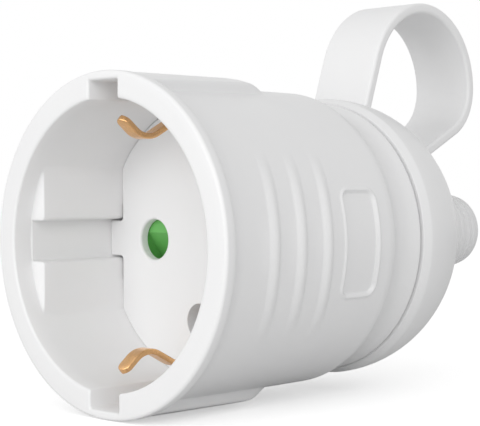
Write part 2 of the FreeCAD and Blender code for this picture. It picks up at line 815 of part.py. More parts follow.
def make_bend_grommet():
    """Tapered sleeve with ring grooves, held in the cap's neck by an inner flange."""
    inner_face = cap_end - neck_length
    taper = (grommet_root_radius - grommet_tip_radius) / (overall_length - cap_end)
    steps = [
        (inner_face - grommet_flange, grommet_flange_radius),
        (inner_face, grommet_flange_radius),
        (inner_face, neck_radius - grommet_fit),
        (cap_end, neck_radius - grommet_fit),
        (cap_end, grommet_root_radius),
    ]
    first = cap_end + grommet_first_groove
    pitch = (overall_length - first - grommet_end_band) / grommet_grooves
    for index in range(grommet_grooves):
        start = first + index * pitch
        end = start + grommet_groove_width
        steps.append((start, grommet_root_radius - (start - cap_end) * taper))
        steps.append((end, grommet_root_radius - (end - cap_end) * taper, -grommet_groove_depth))
    steps.append((overall_length - grommet_edge, grommet_tip_radius + grommet_edge * taper))
    steps.append((overall_length, grommet_tip_radius - grommet_edge, grommet_edge * quarter))
    steps.append((overall_length, cord_hole_radius))
    return turned((inner_face - grommet_flange, cord_hole_radius), *steps)


pieces = {
    "front_body": make_front_body(),
    "contact_insert": make_contact_insert(),
    "shutter": make_shutter(),
    "shutter_spring": make_shutter_spring(),
    "shutter_cover": make_shutter_cover(),
    "contact_carrier": make_contact_carrier(),
    "contact_sleeve_left": make_contact_sleeve(-pin_x),
    "contact_sleeve_right": make_contact_sleeve(pin_x),
    "sleeve_spring_left": make_sleeve_spring(-pin_x),
    "sleeve_spring_right": make_sleeve_spring(pin_x),
    "terminal_screws": make_terminal_screws(),
    "earth_bracket": make_earth_bracket(),
    "earth_terminal": terminal_block(earth_block_half, bar_back, earth_block_length),
    "earth_terminal_screw": terminal_screw(earth_block_half, bar_back, earth_block_length),
    "joining_screw": make_joining_screw(),
    "carrier_screws": make_carrier_screws(),
    "cap_insert": make_cap_insert(),
    "rear_cap": make_rear_cap(),
    "cord_clamp": make_cord_clamp(),
    "cord_clamp_screws": make_cord_clamp_screws(),
    "cord_clamp_nuts": make_cord_clamp_nuts(),
    "bend_grommet": make_bend_grommet(),
}

middle_of_footprint = Vector(0, -overall_length / 2, rim_radius)
os.makedirs("parts", exist_ok=True)
for name, shape in pieces.items():
    shape.translate(middle_of_footprint)
    shape.exportStep("parts/" + name + ".step")
    print(name, shape.isValid(), len(shape.Solids), round(shape.Volume, 1))
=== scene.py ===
from functools import partial
from math import acos, asin, atan2, cos, degrees, hypot, pi, radians, sin, sqrt, tan

import bmesh
import bpy
from mathutils import Matrix, Quaternion, Vector


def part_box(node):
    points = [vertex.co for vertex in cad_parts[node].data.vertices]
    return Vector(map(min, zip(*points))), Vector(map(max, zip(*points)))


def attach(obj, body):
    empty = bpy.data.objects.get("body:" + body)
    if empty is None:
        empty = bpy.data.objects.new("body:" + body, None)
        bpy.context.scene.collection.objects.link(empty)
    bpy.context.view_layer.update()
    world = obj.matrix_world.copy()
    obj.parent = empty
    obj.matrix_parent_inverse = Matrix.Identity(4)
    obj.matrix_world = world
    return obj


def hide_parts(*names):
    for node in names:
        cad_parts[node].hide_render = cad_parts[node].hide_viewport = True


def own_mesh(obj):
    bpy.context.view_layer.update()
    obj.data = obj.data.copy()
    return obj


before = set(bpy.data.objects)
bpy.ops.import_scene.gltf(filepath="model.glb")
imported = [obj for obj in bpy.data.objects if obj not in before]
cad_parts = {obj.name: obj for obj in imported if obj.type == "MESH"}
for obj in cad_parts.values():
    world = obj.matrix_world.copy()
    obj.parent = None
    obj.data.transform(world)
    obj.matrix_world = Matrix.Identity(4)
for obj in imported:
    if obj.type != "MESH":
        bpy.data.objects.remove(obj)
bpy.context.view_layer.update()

# Front body: one white moulding, open at the mouth. The plug goes in between two flats, each with a groove,
# and there is a key notch at top and bottom. Outside are two pads, three grip ribs and a bare panel on each
# side, then a shoulder and a waist.
mm = 0.001
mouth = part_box("front_body")[0].y
axis_level = (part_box("front_body")[0].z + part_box("front_body")[1].z) / 2

rim_radius = 23.1
rim_length = 1.5
rim_edge = 0.5
skin_front_radius = 21.7
skin_rear_radius = 21.4
lip_end = 2.8
shoulder_at = 33.4
shoulder_end = 35.8
shoulder_radius = 20.4
shoulder_bulge = 0.35
waist_hollow = 0.7
flare_start = 40.9
flare_radius = 19.78
body_end = 42.1
body_end_radius = 20.2
body_end_edge = 0.3
spigot_radius = 18.5
spigot_end = 45.4
spigot_edge = 0.4
rear_bore_radius = 17.6
waist_bore_radius = 16.9
bore_taper = 3.0
corner_ease = 0.1

recess_radius = 19.5
recess_depth = 17.5
plate_back = 20.3
mouth_edge = 0.3
shelf_depth = 3.0
flat_x = 16.5
groove_half = 2.9
groove_x = 19.2
notch_half = 2.9
notch_top = 21.85
notch_depth = 16.0
inside_edge = 0.3
shelf_corner = 0.6

pad_radius = 23.0
pad_half_front = 8.4
pad_half_rear = 6.7
pad_end = 20.2
pad_foot = 25.0
pad_sink = 0.3
pad_edge = 0.32

rib_first = 10.1
rib_pitch = 5.15
rib_count = 3
rib_height = 0.5
rib_half_width = 1.15
rib_reach = 12.0
rib_sweep = 1.1

panel_start = 24.3
panel_end = 30.9
panel_half_height = 7.0
panel_corner = 1.3
panel_depth = 0.35
panel_border = 0.5
panel_border_height = 0.18
panel_margin = 0.7
panel_inset = 1.5

skin_columns = 70
first_station = 0.04
weld_distance = 0.002
white = (0.86, 0.86, 0.86)
white_drift = (0.835, 0.835, 0.84)
plastic_ior = 1.49
plastic_drift = 90
plastic_polish = 0.06
grain_strength = 0.6


def place(x, y, z):
    """Point of the scene for millimetres from the middle of the mouth, along the socket's own axis."""
    return Vector((x * mm, mouth + y * mm, axis_level + z * mm))


def mix(a, b, share):
    return a + (b - a) * share


def ease(value, low, high):
    """Smooth step from 0 below low to 1 above high."""
    t = min(1.0, max(0.0, (value - low) / (high - low)))
    return t * t * (3 - 2 * t)


def steps(start, end, count):
    return [mix(start, end, k / count) for k in range(count + 1)]


def bowed(value, low, high, at_low, at_high, bulge):
    """Height of a shallow arc between two stations."""
    t = (value - low) / (high - low)
    return mix(at_low, at_high, t) + 4 * bulge * t * (1 - t)


def rounded_run(corners, radii, straight_steps, corner_steps):
    """Points along straight runs whose corners are rounded, with a set number of steps on each."""
    points = [Vector(corners[0])]
    for k, radius in enumerate(radii):
        before, corner, after = (Vector(c) for c in corners[k:k + 3])
        into, out = (corner - before).normalized(), (after - corner).normalized()
        half_turn = into.angle(out) / 2
        first = corner - into * radius * tan(half_turn)
        middle = corner + (out - into).normalized() * (radius / cos(half_turn))
        side = 1 if into.x * out.y - into.y * out.x > 0 else -1
        start = points[-1]
        points += [start.lerp(first, s / straight_steps[k]) for s in range(1, straight_steps[k] + 1)]
        for s in range(1, corner_steps[k] + 1):
            turned = Matrix.Rotation(side * 2 * half_turn * s / corner_steps[k], 2)
            points.append(middle + turned @ (first - middle))
    start, end = points[-1], Vector(corners[-1])
    return points + [start.lerp(end, s / straight_steps[-1]) for s in range(1, straight_steps[-1] + 1)]


def all_round(quarter, y):
    """Ring of points at one station from its first quarter, which runs from the side to the top."""
    upper = list(quarter) + [(-x, z) for x, z in reversed(quarter[:-1])]
    return [(x, y, z) for x, z in upper + [(x, -z) for x, z in reversed(upper[1:-1])]]


def recess_quarter(grow=0.0, groove=groove_half):
    """The plug's outline from the side groove to the key notch, made wider all round by grow."""
    flat, reach, top = flat_x + grow, groove_x + grow, notch_top + grow
    radius = recess_radius + grow
    flat_top = sqrt(radius ** 2 - flat ** 2)
    side = rounded_run([(reach, 0), (reach, groove), (flat, groove), (flat, flat_top)],
                       [inside_edge, shelf_corner], [3, 3, 5], [3, 6])
    notch = notch_half + grow
    notch_foot = sqrt(radius ** 2 - notch ** 2)
    start, end = atan2(flat_top, flat), atan2(notch_foot, notch) - inside_edge / radius
    arc = [Vector((radius * cos(a), radius * sin(a))) for a in steps(start, end, 36)[1:-1]]
    key = rounded_run([arc[-1], (notch, notch_foot), (notch, top), (0, top)],
                      [inside_edge, inside_edge], [1, 3, 4], [4, 3])
    return side + arc + key[1:]


def recess_ring(y, flats, notches, radius=recess_radius, grow=0.0, groove=groove_half):
    """Ring of the recess. The flats and the notches count from 0, plain round, to 1, fully cut."""
    quarter = []
    for point in recess_quarter(grow, groove):
        is_notch = point.y > 3 * point.x
        quarter.append(tuple((point.normalized() * radius).lerp(point, notches if is_notch else flats)))
    return all_round(quarter, y)


def skin_angle(column, y):
    """Direction of one column of the outer skin: columns crowd at the panel's border and the pad's edge."""
    pad_angle = degrees(acos(pad_half(y) / pad_radius))
    # Each knot is a column and its degrees up from the side
    knots = [(0, 0.0), (6, 15.0), (26, 22.8), (42, pad_angle - 2.0), (56, pad_angle + 2.0), (60, 80.0),
             (66, 82.3), (skin_columns, 90.0)]
    for (before, low), (after, high) in zip(knots, knots[1:]):
        if column <= after:
            return radians(mix(low, high, (column - before) / (after - before)))


def pad_half(y):
    return mix(pad_half_front, pad_half_rear, min(y, pad_foot) / pad_foot)


def sleeve_radius(y):
    """The skin without its pads, ribs and panels."""
    if y < rim_edge:
        return rim_radius - rim_edge + sqrt(rim_edge ** 2 - (rim_edge - y) ** 2)
    if y < shoulder_at:
        sleeve = mix(skin_front_radius, skin_rear_radius, y / shoulder_at)
        return mix(rim_radius, sleeve, ease(y, rim_length, lip_end))
    if y < shoulder_end:
        return bowed(y, shoulder_at, shoulder_end, skin_rear_radius, shoulder_radius, shoulder_bulge)
    if y < flare_start:
        return bowed(y, shoulder_end, flare_start, shoulder_radius, flare_radius, -waist_hollow)
    flare = mix(flare_radius, body_end_radius, (y - flare_start) / (body_end - flare_start))
    return flare - body_end_edge * max(0, 1 - (body_end - y) / body_end_edge) ** 2


def rib_rise(y, height):
    swept = y - rib_sweep * (height / rib_reach) ** 2
    nearest = min(rib_count - 1, max(0, round((swept - rib_first) / rib_pitch)))
    off = (swept - rib_first - nearest * rib_pitch) / rib_half_width
    return rib_height * max(0, 1 - (height / rib_reach) ** 2) * max(0, 1 - off * off) ** 1.5


def panel_rise(y, height):
    """Raised border round a shallow recess, by the distance from the panel's rounded outline."""
    dy = abs(y - (panel_start + panel_end) / 2) - (panel_end - panel_start) / 2 + panel_corner
    dz = height - panel_half_height + panel_corner
    outside = hypot(max(dy, 0), max(dz, 0)) + min(max(dy, dz), 0) - panel_corner
    border = ease(outside, -0.05, 0.12) * (1 - ease(outside, panel_border - 0.2, panel_border + 0.1))
    return panel_border_height * border - panel_depth * ease(-outside, -0.08, 0.14)


def pad_rise(y, across, skin):
    """How far the pad stands over the skin, with its sides and its rear end eased off."""
    top = pad_radius
    if y > pad_end:
        t = (y - pad_end) / (pad_foot - pad_end)
        top -= (pad_radius - skin_rear_radius + pad_sink) * t * t * (1.6 - 0.6 * t)
    return max(0, top - skin) * ease(pad_half(y) - across, -pad_edge, pad_edge)


def skin_ring(y):
    quarter = []
    for column in range(skin_columns + 1):
        angle = skin_angle(column, y)
        height = skin_rear_radius * sin(angle)
        radius = sleeve_radius(y)
        if y < shoulder_at:
            radius += rib_rise(y, height)
        if y < shoulder_end:
            radius += panel_rise(y, height)
        if rim_edge <= y < pad_foot:
            radius += pad_rise(y, pad_radius * cos(angle), radius)
        quarter.append((radius * cos(angle), radius * sin(angle)))
    return all_round(quarter, y)


def between(ring, other, share):
    return [tuple(mix(a, b, share) for a, b in zip(p, q)) for p, q in zip(ring, other)]


def ring_shell(rings, closed=False, name="shell"):
    """Closed skin through rings of points. A closed row of rings meets itself, an open one has flat ends."""
    shell = bmesh.new()
    rows = [[shell.verts.new(place(*point)) for point in ring] for ring in rings]
    pairs = list(zip(rows, rows[1:]))
    if closed:
        pairs.append((rows[-1], rows[0]))
    else:
        shell.faces.new(rows[0])
        shell.faces.new(rows[-1])
    for row, following in pairs:
        for k in range(len(row)):
            shell.faces.new((row[k - 1], row[k], following[k], following[k - 1]))
    bmesh.ops.remove_doubles(shell, verts=shell.verts, dist=weld_distance * mm)
    bmesh.ops.recalc_face_normals(shell, faces=shell.faces)
    mesh = bpy.data.meshes.new(name)
    shell.to_mesh(mesh)
    shell.free()
    return smoothed(mesh)


def smoothed(mesh):
    mesh.polygons.foreach_set("use_smooth", [True] * len(mesh.polygons))
    return mesh


def shown(name, data):
    piece = bpy.data.objects.new(name, data)
    bpy.context.scene.collection.objects.link(piece)
    return piece


def fitted(piece, material, body, nodes):
    """Gives a piece its finish and its body, and lets it stand for CAD nodes."""
    piece.data.materials.clear()
    piece.data.materials.append(material)
    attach(piece, body)
    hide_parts(*nodes)


def feed(tree, node, feeds):
    """Gives a node's sockets their values, or what other nodes give."""
    for socket, value in feeds.items():
        if isinstance(value, bpy.types.Node):
            value = value.outputs[0]
        if isinstance(value, bpy.types.NodeSocket):
            tree.links.new(value, node.inputs[socket])
        else:
            node.inputs[socket].default_value = value
    return node


def put(tree, kind, feeds, **settings):
    """Adds a node with its settings and feeds it."""
    node = tree.nodes.new(kind)
    for setting, choice in settings.items():
        setattr(node, setting, choice)
    return feed(tree, node, feeds)


def drifting(tree, where, scale, colour, drift_colour):
    """Slow noise over a surface, and a colour that goes from one tone to another with it."""
    drift = put(tree, "ShaderNodeTexNoise", {"Vector": where, "Scale": scale, "Detail": 3}).outputs["Fac"]
    tone = put(tree, "ShaderNodeMix", {"Factor": drift, "A": (*colour, 1), "B": (*drift_colour, 1)},
               data_type="RGBA")
    return drift, tone.outputs["Result"]


def textured(tree, drift, roughness, spread, relief, strength, depth):
    """Roughness that wanders with a noise, and fine relief in the surface."""
    polish = put(tree, "ShaderNodeMapRange", {
        "Value": drift, "To Min": roughness - spread, "To Max": roughness + spread})
    bump = put(tree, "ShaderNodeBump", {"Height": relief, "Strength": strength, "Distance": depth * mm})
    return {"Roughness": polish, "Normal": bump}


def blank_finish(name):
    """New material, its tree and the place of each of its points."""
    material = bpy.data.materials.new(name)
    material.use_nodes = True
    tree = material.node_tree
    return material, tree, tree.nodes.new("ShaderNodeTexCoord").outputs["Object"]


def moulded(name, colour, drift_colour, roughness, grain_size, grain_depth, gloss=0.5):
    """Moulded plastic: a fine spark-worn grain, with slow drifts of tone and of polish."""
    material, tree, where = blank_finish(name)
    drift, tone = drifting(tree, where, plastic_drift, colour, drift_colour)
    grain = put(tree, "ShaderNodeTexNoise", {"Vector": where, "Scale": 1 / (grain_size * mm), "Detail": 2})
    worn = textured(tree, drift, roughness, plastic_polish, grain.outputs["Fac"], grain_strength, grain_depth)
    surface = {"Base Color": tone, "IOR": plastic_ior, "Specular IOR Level": gloss}
    feed(tree, tree.nodes["Principled BSDF"], surface | worn)
    return material


# Each span is from, to and its number of steps: rings crowd at the edges, the ribs and the panel's border
spans = [(first_station, rim_edge, 4), (rim_edge, rim_length, 2), (rim_length, lip_end, 7),
         (lip_end, rib_first - rib_half_width, 3), (pad_end, pad_foot, 12),
         (panel_start - panel_margin, panel_start + panel_inset, 14),
         (panel_start + panel_inset, panel_end - panel_inset, 4),
         (panel_end - panel_inset, panel_end + panel_margin, 14), (panel_end + panel_margin, shoulder_end, 5),
         (shoulder_end, flare_start, 12), (flare_start, body_end - body_end_edge, 2),
         (body_end - body_end_edge, body_end, 4)]
for rib in range(rib_count):
    crest = rib_first + rib * rib_pitch
    spans.append((crest - rib_half_width, crest + rib_half_width + rib_sweep, 19))
skin = [skin_ring(y) for y in sorted({round(y, 3) for span in spans for y in steps(*span)})]

rear = [recess_ring(y, 0, 0, radius) for y, radius in [
    (body_end, spigot_radius + corner_ease), (body_end + corner_ease, spigot_radius),
    (spigot_end - spigot_edge, spigot_radius), (spigot_end, spigot_radius - spigot_edge),
    (spigot_end, waist_bore_radius + corner_ease), (spigot_end - corner_ease, waist_bore_radius),
    (shoulder_at + bore_taper, waist_bore_radius), (shoulder_at, rear_bore_radius),
    (plate_back + corner_ease, rear_bore_radius)]]

# The notches' ends and the shelves' fronts are rounded: distance behind the edge, and how far the cut goes
notch_end = [(inside_edge, 0), (0.09, 0.03), (0, 0.1), (0, 0.93), (-0.08, 0.98), (-inside_edge, 1)]
shelf_front = [(inside_edge, 1), (0.09, 0.98), (0, 0.92), (0, 0.05), (-0.05, 0.01), (-0.2, 0)]
inside = [recess_ring(plate_back, 1, 0)]
inside += [recess_ring(notch_depth + past, 1, notches) for past, notches in notch_end]
inside += [recess_ring(y, 1, 1) for y in steps(notch_depth - 2, shelf_depth + 2, 4)]
inside += [recess_ring(shelf_depth + past, flats, 1) for past, flats in shelf_front]

inside.append(recess_ring(mouth_edge, 0, 1))
inside.append(recess_ring(0.3 * mouth_edge, 0, 1, recess_radius + 0.3 * mouth_edge, 0.3 * mouth_edge))
inside.append(recess_ring(0, 0, 1, recess_radius + mouth_edge, mouth_edge))
face_edge = skin_ring(0)
inside += [between(inside[-1], face_edge, share) for share in (0.15, 0.6, 1)]

white_plastic = moulded("white_moulding", white, white_drift, roughness=0.42, grain_size=0.35,
                        grain_depth=0.006)
front_body = shown("front_body_moulding", ring_shell(skin + rear + inside, closed=True))
fitted(front_body, white_plastic, "housing", ["front_body"])


# Contact insert: the matt white floor of the recess, a moulding of its own that is pushed in from behind. It
# has the two contact holes, the well of the joining screw and a slot for each earth clip. The shutter slides
# in a pocket at its back, under a boss.
insert_clearance = 0.1
insert_edge = 0.2
insert_tab_half = 2.6
insert_rear_radius = 17.4
insert_back = 24.0
cut_front = 17.0
cut_back = 25.0
contact_x = 9.5
contact_hole_radius = 2.9
contact_hole_lip = 0.4
contact_hole_back = 19.5
joint_z = 11.3
well_radius = 2.5
well_lip = 0.15
boss_radius = 3.4
clip_slot_half = 1.5
clip_slot_low = 15.0
clip_slot_high = 18.0
clip_slot_corner = 0.3
pocket_front = 18.9
pocket_half = 13.3
pocket_low = -3.4
pocket_high = 9.1
spring_seat_half = 1.6
spring_seat_low = 7.8
cover_front = 23.2
cover_half = 14.1
cover_low = -4.2
cover_high = 9.9
cover_corner = 3.0
cover_corner_steps = 8
overcut = 0.01
pilot_radius = 1.1
pilot_front = 20.0
carrier_screw_x = 7.6
carrier_screw_z = -10.6
matt = (0.86, 0.86, 0.86)
matt_drift = (0.84, 0.84, 0.845)


def circle_ring(y, radius, x=0.0, z=0.0, count=72):
    turns = [2 * pi * k / count for k in range(count)]
    return [(x + radius * cos(a), y, z + radius * sin(a)) for a in turns]


def round_solid(profile, name, x=0.0, z=0.0, count=72):
    """Turned solid from (station, radius) pairs, on a line beside the socket's axis."""
    return ring_shell([circle_ring(y, radius, x, z, count) for y, radius in profile], name=name)


def front_prism(outline, low, high, name):
    """Prism along the socket's axis, from an outline seen from the mouth."""
    return ring_shell([[(x, y, z) for x, z in outline] for y in (low, high)], name=name)


def side_prism(outline, low, high, name):
    """Prism across the socket, from an outline of (station, height) points seen from the side."""
    return ring_shell([[(x, y, z) for y, z in outline] for x in (low, high)], name=name)


def rounded_box(x0, x1, z0, z1, corner, count=5):
    outline = []
    for x, z, first in [(x1 - corner, z1 - corner, 0), (x0 + corner, z1 - corner, 90),
                        (x0 + corner, z0 + corner, 180), (x1 - corner, z0 + corner, 270)]:
        for angle in steps(radians(first), radians(first + 90), count):
            outline.append((x + corner * cos(angle), z + corner * sin(angle)))
    return outline


def settled(piece):
    """Plain mesh of a piece as its modifiers leave it. The piece itself goes."""
    bpy.context.view_layer.update()
    seen = piece.evaluated_get(bpy.context.evaluated_depsgraph_get())
    mesh = bpy.data.meshes.new_from_object(seen)
    bpy.data.objects.remove(piece)
    return mesh


def worked(mesh, tools, operation="DIFFERENCE"):
    """The mesh with each tool mesh cut out of it, or joined to it, in turn."""
    blank = shown("blank", mesh)
    shapes = [shown("tool", tool) for tool in tools]
    for shape in shapes:
        step = blank.modifiers.new("step", "BOOLEAN")
        step.operation, step.solver, step.object = operation, "EXACT", shape
    result = settled(blank)
    for shape in shapes:
        bpy.data.objects.remove(shape)
    return result


def edged(mesh, name, bevel=0.0, crease=32):
    """Object with its sharp edges eased by a small bevel, and shading that keeps its flats flat."""
    smoothed(mesh)
    if bevel:
        easing = shown("easing", mesh)
        step = easing.modifiers.new("ease", "BEVEL")
        step.width, step.segments, step.limit_method = bevel * mm, 2, "ANGLE"
        step.angle_limit = radians(crease)
        mesh = settled(easing)
    mesh.set_sharp_from_angle(angle=radians(crease))
    shading = shown("shading", mesh)
    step = shading.modifiers.new("shade", "WEIGHTED_NORMAL")
    step.keep_sharp = True
    return shown(name, settled(shading))


insert_rings = []
for y, inward in [(recess_depth, insert_edge), (recess_depth + 0.3 * insert_edge, 0.45 * insert_edge),
                  (recess_depth + insert_edge, 0), (plate_back, 0)]:
    shrink = insert_clearance + inward
    insert_rings.append(recess_ring(y, 1, 0, recess_radius - shrink, -shrink, insert_tab_half - inward))
insert_rings += [recess_ring(y, 0, 0, insert_rear_radius) for y in (plate_back, insert_back)]

hole = [(cut_front, contact_hole_radius + contact_hole_lip)]
hole += [(recess_depth + contact_hole_lip * (1 - sin(a)),
          contact_hole_radius + contact_hole_lip * (1 - cos(a))) for a in steps(pi / 2, 0, 5)]
hole.append((contact_hole_back, contact_hole_radius))
well = [(cut_front, well_radius + well_lip), (recess_depth, well_radius + well_lip),
        (recess_depth + well_lip / 3, well_radius + well_lip / 3), (recess_depth + well_lip, well_radius),
        (cut_back, well_radius)]
pilot = [(pilot_front, pilot_radius), (cut_back, pilot_radius)]
cuts = [round_solid(hole, "hole", x) for x in (-contact_x, contact_x)]
cuts.append(round_solid(well, "well", z=-joint_z))
for side in (-1, 1):
    low, high = sorted((side * clip_slot_low, side * clip_slot_high))
    slot = rounded_box(-clip_slot_half, clip_slot_half, low, high, clip_slot_corner)
    cuts.append(front_prism(slot, cut_front, cut_back, "slot"))
    cuts.append(round_solid(pilot, "pilot", side * carrier_screw_x, carrier_screw_z, 24))


def under_boss(top, half=0.0, low=0.0):
    """Edge of the boss where a level outline meets it, with the spring's seat if that is asked for."""
    start = asin((top - joint_z) / boss_radius)
    end = -acos(half / boss_radius) if half else -pi / 2
    right = [(boss_radius * cos(a), joint_z + boss_radius * sin(a)) for a in steps(start, end, 8)]
    if half:
        right.append((half, low))
        return right + [(-x, z) for x, z in reversed(right)]
    return right + [(-x, z) for x, z in reversed(right[:-1])]


pocket = [(-pocket_half, pocket_high), (-pocket_half, pocket_low), (pocket_half, pocket_low),
          (pocket_half, pocket_high)]
cuts.append(front_prism(pocket + under_boss(pocket_high, spring_seat_half, spring_seat_low),
                        pocket_front, cover_front + overcut, "pocket"))
lid = rounded_box(-cover_half, cover_half, cover_low, cover_high, cover_corner, cover_corner_steps)
first_corner, rest = lid[:cover_corner_steps + 1], lid[cover_corner_steps + 1:]
cuts.append(front_prism(first_corner + under_boss(cover_high) + rest, cover_front, cut_back, "lid"))

matt_white = moulded("matt_white_moulding", matt, matt_drift, roughness=0.56, grain_size=0.22,
                     grain_depth=0.01, gloss=0.4)
contact_insert = edged(worked(ring_shell(insert_rings, name="insert"), cuts), "contact_insert_moulding")
fitted(contact_insert, matt_white, "housing", ["contact_insert"])


# Shutter: a green slide behind the contact holes, moulded in one. A pair of pins presses on its two ramps at
# once and lifts it clear. The notch in its top goes round the boss, and the slot holds its spring.
shutter_front = 19.05
shutter_back = 23.05
shutter_half_width = 13.1
shutter_half_height = 3.2
shutter_corner = 0.8
shutter_edge = 0.12
shutter_cut_front = 18.0
shutter_cut_back = 24.0
ramp_foot = 22.25
ramp_crest = 0.96
ramp_low = -4.2
ramp_half = 3.2
boss_room = 3.8
boss_room_low = 1.6
boss_room_high = 5.0
boss_room_corner = 0.4
spring_slot_half = 1.3
spring_slot_front = 20.45
spring_slot_low = -1.9
spring_slot_high = 4.0
spring_slot_corner = 0.25
green = (0.16, 0.50, 0.125)
green_drift = (0.14, 0.46, 0.112)

blank = rounded_box(-shutter_half_width, shutter_half_width, -shutter_half_height, shutter_half_height,
                    shutter_corner)
ramp = [(ramp_foot, ramp_low), (ramp_foot, -shutter_half_height), (shutter_front, ramp_crest),
        (shutter_cut_front, ramp_crest), (shutter_cut_front, ramp_low)]
cuts = [side_prism(ramp, x - ramp_half, x + ramp_half, "ramp") for x in (-contact_x, contact_x)]
room = rounded_box(-boss_room, boss_room, boss_room_low, boss_room_high, boss_room_corner)
cuts.append(front_prism(room, shutter_cut_front, shutter_cut_back, "room"))
slot = rounded_box(-spring_slot_half, spring_slot_half, spring_slot_low, spring_slot_high, spring_slot_corner)
cuts.append(front_prism(slot, spring_slot_front, shutter_cut_back, "slot"))
green_plastic = moulded("green_moulding", green, green_drift, roughness=0.38, grain_size=0.3,
                        grain_depth=0.006)
slide = worked(front_prism(blank, shutter_front, shutter_back, "slide"), cuts)
shutter = edged(slide, "shutter_moulding", bevel=shutter_edge)
fitted(shutter, green_plastic, "slide", ["shutter"])


# Shutter spring: a coil of thin steel wire between the slide and the seat under the boss. It presses the
# slide down over the holes, and the slide squeezes it as the pins come in.
spring_radius = 0.95
spring_wire = 0.16
spring_turns = 6
spring_low = -1.9
spring_high = 7.8
spring_station = 21.75
spring_closing = 0.08
turn_segments = 28
wire_segments = 12
metal_drift = 420
metal_polish = 0.08
streak_strength = 0.5


def shape_tree(name, *measures, **others):
    """Empty Geometry Nodes tree with named inputs and a material. Gives the tree, its inputs and its end."""
    tree = bpy.data.node_groups.new(name, "GeometryNodeTree")
    tree.interface.new_socket("Geometry", in_out="INPUT", socket_type="NodeSocketGeometry")
    tree.interface.new_socket("Geometry", in_out="OUTPUT", socket_type="NodeSocketGeometry")
    inputs = dict.fromkeys(measures, "Float") | others | {"Material": "Material"}
    for label, kind in inputs.items():
        tree.interface.new_socket(label, in_out="INPUT", socket_type="NodeSocket" + kind)
    return tree, tree.nodes.new("NodeGroupInput").outputs, tree.nodes.new("NodeGroupOutput").inputs


def maths_in(tree):
    """Times, plus, less and over for the values of one tree, and any other sum by its name."""
    def work(operation, *values):
        result = put(tree, "ShaderNodeMath", dict(enumerate(values[:2])), operation=operation)
        for value in values[2:]:
            result = work(operation, result, value)
        return result
    return [partial(work, operation) for operation in ("MULTIPLY", "ADD", "SUBTRACT", "DIVIDE")] + [work]


def ended(tree, geometry, material, leave):
    """Ends a tree with real geometry in its material."""
    real = put(tree, "GeometryNodeRealizeInstances", {"Geometry": geometry})
    coloured = put(tree, "GeometryNodeSetMaterial", {"Geometry": real, "Material": material})
    tree.links.new(coloured.outputs[0], leave[0])


def grown(base, tree, values):
    """Mesh that a tree makes of a base mesh. The values are given by the names of the tree's inputs."""
    piece = shown("growing", base)
    step = piece.modifiers.new("shape", "NODES")
    step.node_group = tree
    for socket in tree.interface.items_tree:
        if socket.in_out == "INPUT" and socket.name in values:
            step[socket.identifier] = values[socket.name]
    return settled(piece)


def metal(name, colour, dull, roughness, streak, depth):
    """Bare metal: fine streaks left by the tool or the rolls, and a thin dullness that drifts over it."""
    material, tree, where = blank_finish(name)
    tone = drifting(tree, where, metal_drift, colour, dull)[1]
    stretched = put(tree, "ShaderNodeMapping", {"Vector": where, "Scale": [1 / (s * mm) for s in streak]})
    lines = put(tree, "ShaderNodeTexNoise", {"Vector": stretched, "Scale": 1, "Detail": 2})
    worn = textured(tree, lines, roughness, metal_polish, lines, streak_strength, depth)
    feed(tree, tree.nodes["Principled BSDF"], {"Metallic": 1.0, "Base Color": tone, **worn})
    return material


coil, size, leave = shape_tree("coil", "Radius", "Wire", "Turns", "Length", "Closing")
spiral = put(coil, "GeometryNodeCurveSpiral", {
    "Resolution": turn_segments, "Rotations": size["Turns"], "Start Radius": size["Radius"],
    "End Radius": size["Radius"], "Height": size["Length"]})
times, plus, less, over, work = maths_in(coil)
wave = work("SINE", times(put(coil, "GeometryNodeSplineParameter", {}), -2 * pi))
sway = times(wave, times(size["Length"], size["Closing"]))
shift = put(coil, "ShaderNodeCombineXYZ", {"Z": sway})
wound = put(coil, "GeometryNodeSetPosition", {"Geometry": spiral, "Offset": shift})
wire = put(coil, "GeometryNodeCurvePrimitiveCircle", {"Resolution": wire_segments, "Radius": size["Wire"]})
tube = put(coil, "GeometryNodeCurveToMesh", {"Curve": wound, "Profile Curve": wire, "Fill Caps": True})
ended(coil, tube, size["Material"], leave)

spring_steel = metal("spring_steel", colour=(0.60, 0.60, 0.62), dull=(0.46, 0.46, 0.48), roughness=0.28,
                     streak=(0.4, 0.4, 0.04), depth=0.002)
coil_mesh = grown(bpy.data.meshes.new("base"), coil, {
    "Radius": spring_radius * mm, "Wire": spring_wire * mm, "Turns": float(spring_turns),
    "Length": (spring_high - spring_low - 2 * spring_wire) * mm, "Closing": spring_closing,
    "Material": spring_steel})
coil_mesh.transform(Matrix.Translation(place(0, spring_station, spring_low + spring_wire)))
shutter_spring = shown("shutter_spring_coil", smoothed(coil_mesh))
fitted(shutter_spring, spring_steel, "housing", ["shutter_spring"])
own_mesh(shutter_spring)


# Contact carrier and shutter cover: pale grey mouldings behind the insert. The cover closes the shutter's
# pocket, and the carrier holds the two contacts and ends in a tongue that the cord is clamped on.
grey_plastic = moulded("pale_grey_moulding", (0.66, 0.66, 0.64), (0.62, 0.62, 0.605), roughness=0.58,
                       grain_size=0.28, grain_depth=0.012, gloss=0.35)


def finished(material, *nodes):
    """Gives its finish to each CAD node that is shown as it is."""
    for node in nodes:
        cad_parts[node].data.materials[0] = material


finished(grey_plastic, "contact_carrier", "shutter_cover")


# Contacts: two split brass tubes, each pressed closed by a ring of spring steel. Behind is a square terminal
# block, drilled for the wire and tapped for its screw. The earth terminal is the same bar, cut shorter.
brass = metal("turned_brass", colour=(0.80, 0.58, 0.26), dull=(0.70, 0.48, 0.20), roughness=0.26,
              streak=(0.9, 0.03, 0.9), depth=0.003)
finished(brass, "contact_sleeve_left", "contact_sleeve_right", "earth_terminal")
finished(spring_steel, "sleeve_spring_left", "sleeve_spring_right")


